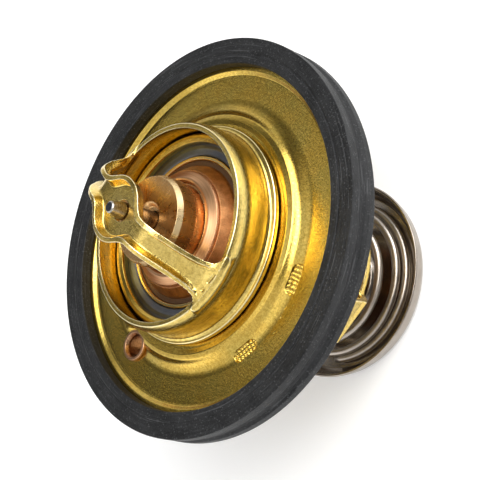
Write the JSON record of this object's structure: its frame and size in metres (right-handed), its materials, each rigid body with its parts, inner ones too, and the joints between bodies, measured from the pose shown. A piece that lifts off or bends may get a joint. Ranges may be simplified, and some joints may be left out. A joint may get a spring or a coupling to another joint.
{
  "type": "engine thermostat",
  "caption": "Flanged wax valve insert for an engine cooling circuit, with rubber rim seal, pressed brass bridge, wax element and spring-loaded bypass disc.",
  "frame": {"origin": "centre of the rubber sealing ring, on the valve axis, halfway through the ring's rim", "axes": "+Z along the valve axis towards the bridge, +X along the bridge strap, bleed eyelet towards -Y"},
  "size_m": [0.067, 0.067, 0.0575],
  "materials": {
    "seal_rubber": "matte moulded rubber",
    "sheet_brass": "bright drawn sheet with light grain",
    "strap_brass": "bright pressed sheet",
    "turned_brass": "fine turned, coppery",
    "copper_cup": "drawn copper, satin with rough band",
    "pin_steel": "dark ground steel",
    "valve_steel": "smooth dark steel",
    "spring_steel": "polished stainless wire",
    "dish_steel": "polished stainless sheet",
    "boot_rubber": "soft rubber",
    "wax": "waxy solid",
    "white_plastic": "white low-friction plastic"
  },
  "bodies": {
    "flange_group": {"gasket_ring": "seal_rubber", "flange_plate": "sheet_brass", "bleed_eyelet": "copper_cup", "bridge": "strap_brass", "piston_pin": "pin_steel", "rear_frame": "strap_brass", "main_spring": "spring_steel"},
    "element_group": {"element_guide": "turned_brass", "wiper_ring": "boot_rubber", "element_cup": "copper_cup", "rubber_boot": "boot_rubber", "backup_ring": "white_plastic", "wax_charge": "wax", "valve_hub": "turned_brass", "valve_disc": "valve_steel", "tail_pin": "turned_brass", "thrust_washer": "dish_steel", "retaining_clip": "spring_steel", "bypass_spring": "spring_steel"},
    "bypass_group": {"bypass_disc": "dish_steel"}
  },
  "joints": [
    {"name": "valve_lift", "type": "slide", "parent": "flange_group", "child": "element_group", "axis": [0, 0, -1], "range_m": [0, 0.008], "stiffness_N_per_m": 4000, "springref_m": -0.009, "deforming": ["main_spring"]},
    {"name": "bypass_slide", "type": "slide", "parent": "element_group", "child": "bypass_group", "axis": [0, 0, 1], "range_m": [0, 0.0035], "stiffness_N_per_m": 1200, "springref_m": -0.007, "deforming": ["bypass_spring"]}
  ]
}
